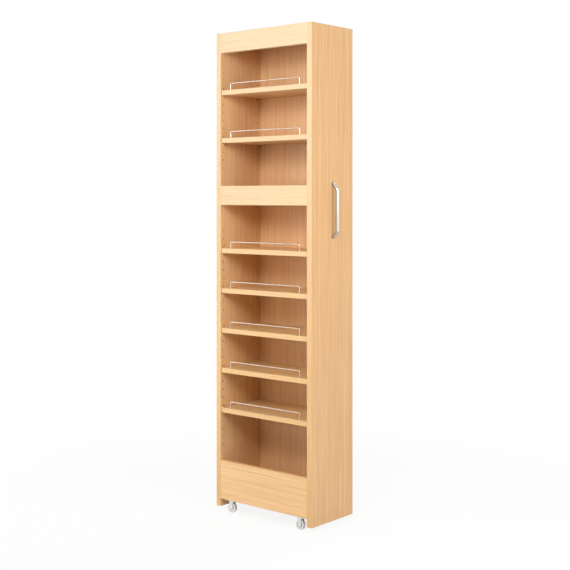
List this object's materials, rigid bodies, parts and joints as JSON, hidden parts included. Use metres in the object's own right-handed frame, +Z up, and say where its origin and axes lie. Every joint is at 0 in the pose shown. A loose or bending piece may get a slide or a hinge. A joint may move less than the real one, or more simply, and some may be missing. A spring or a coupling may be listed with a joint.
{
  "type": "slim rolling shelf cart",
  "caption": "Tall narrow wood-look shelf cart on small fixed casters, open on one long side, with loose shelves, wire rails and a chrome pull on its end panel.",
  "frame": {"origin": "middle of the footprint of the whole cart, handle included, on the floor under the wheels", "axes": "+Z up; the handle end faces -Y; the open long side faces -X and the closed one +X"},
  "size_m": [0.2, 0.4078, 1.5],
  "materials": {
    "panel_wood": "satin beech-look laminate, upright grain on the end panels",
    "front_wood": "satin beech-look laminate, level grain, pale edges",
    "back_wood": "matt printed board, upright grain",
    "dowel_wood": "plain beech",
    "chrome": "bright chrome plate",
    "zinc": "bright zinc plate",
    "nylon": "moulded nylon"
  },
  "bodies": {
    "cabinet": {"front_end_panel": "panel_wood", "rear_end_panel": "panel_wood", "top_board": "panel_wood", "top_apron": "front_wood", "middle_board": "panel_wood", "middle_apron": "front_wood", "bottom_board": "panel_wood", "bottom_apron": "front_wood", "back_panel": "back_wood", "upper_shelf_pins": "zinc", "lower_shelf_pins": "zinc", "handle": "chrome", "handle_screws": "zinc", "board_dowels": "dowel_wood", "apron_dowels": "dowel_wood", "cam_bolts": "zinc", "cam_locks": "zinc", "caster_screws": "zinc", "caster_bracket_front_open": "zinc", "caster_bracket_rear_open": "zinc", "caster_bracket_front_closed": "zinc", "caster_bracket_rear_closed": "zinc", "caster_axle_front_open": "zinc", "caster_axle_rear_open": "zinc", "caster_axle_front_closed": "zinc", "caster_axle_rear_closed": "zinc"},
    "shelf_1": {"shelf_1": "front_wood", "rail_1": "chrome"},
    "shelf_2": {"shelf_2": "front_wood", "rail_2": "chrome"},
    "shelf_3": {"shelf_3": "front_wood", "rail_3": "chrome"},
    "shelf_4": {"shelf_4": "front_wood", "rail_4": "chrome"},
    "shelf_5": {"shelf_5": "front_wood", "rail_5": "chrome"},
    "shelf_6": {"shelf_6": "front_wood", "rail_6": "chrome"},
    "shelf_7": {"shelf_7": "front_wood", "rail_7": "chrome"},
    "wheel_front_open": {"caster_wheel_front_open": "nylon"},
    "wheel_rear_open": {"caster_wheel_rear_open": "nylon"},
    "wheel_front_closed": {"caster_wheel_front_closed": "nylon"},
    "wheel_rear_closed": {"caster_wheel_rear_closed": "nylon"}
  },
  "joints": [
    {"name": "shelf_1_draw", "type": "slide", "parent": "cabinet", "child": "shelf_1", "axis": [-1, 0, 0], "range_m": [0, 0.19]},
    {"name": "shelf_2_draw", "type": "slide", "parent": "cabinet", "child": "shelf_2", "axis": [-1, 0, 0], "range_m": [0, 0.19]},
    {"name": "shelf_3_draw", "type": "slide", "parent": "cabinet", "child": "shelf_3", "axis": [-1, 0, 0], "range_m": [0, 0.19]},
    {"name": "shelf_4_draw", "type": "slide", "parent": "cabinet", "child": "shelf_4", "axis": [-1, 0, 0], "range_m": [0, 0.19]},
    {"name": "shelf_5_draw", "type": "slide", "parent": "cabinet", "child": "shelf_5", "axis": [-1, 0, 0], "range_m": [0, 0.19]},
    {"name": "shelf_6_draw", "type": "slide", "parent": "cabinet", "child": "shelf_6", "axis": [-1, 0, 0], "range_m": [0, 0.19]},
    {"name": "shelf_7_draw", "type": "slide", "parent": "cabinet", "child": "shelf_7", "axis": [-1, 0, 0], "range_m": [0, 0.19]},
    {"name": "wheel_front_open_spin", "type": "hinge", "parent": "cabinet", "child": "wheel_front_open", "pos_m": [-0.0835, -0.12712, 0.015], "axis": [1, 0, 0], "continuous": true},
    {"name": "wheel_rear_open_spin", "type": "hinge", "parent": "cabinet", "child": "wheel_rear_open", "pos_m": [-0.0835, 0.14988, 0.015], "axis": [1, 0, 0], "continuous": true},
    {"name": "wheel_front_closed_spin", "type": "hinge", "parent": "cabinet", "child": "wheel_front_closed", "pos_m": [0.0835, -0.12712, 0.015], "axis": [1, 0, 0], "continuous": true},
    {"name": "wheel_rear_closed_spin", "type": "hinge", "parent": "cabinet", "child": "wheel_rear_closed", "pos_m": [0.0835, 0.14988, 0.015], "axis": [1, 0, 0], "continuous": true}
  ]
}
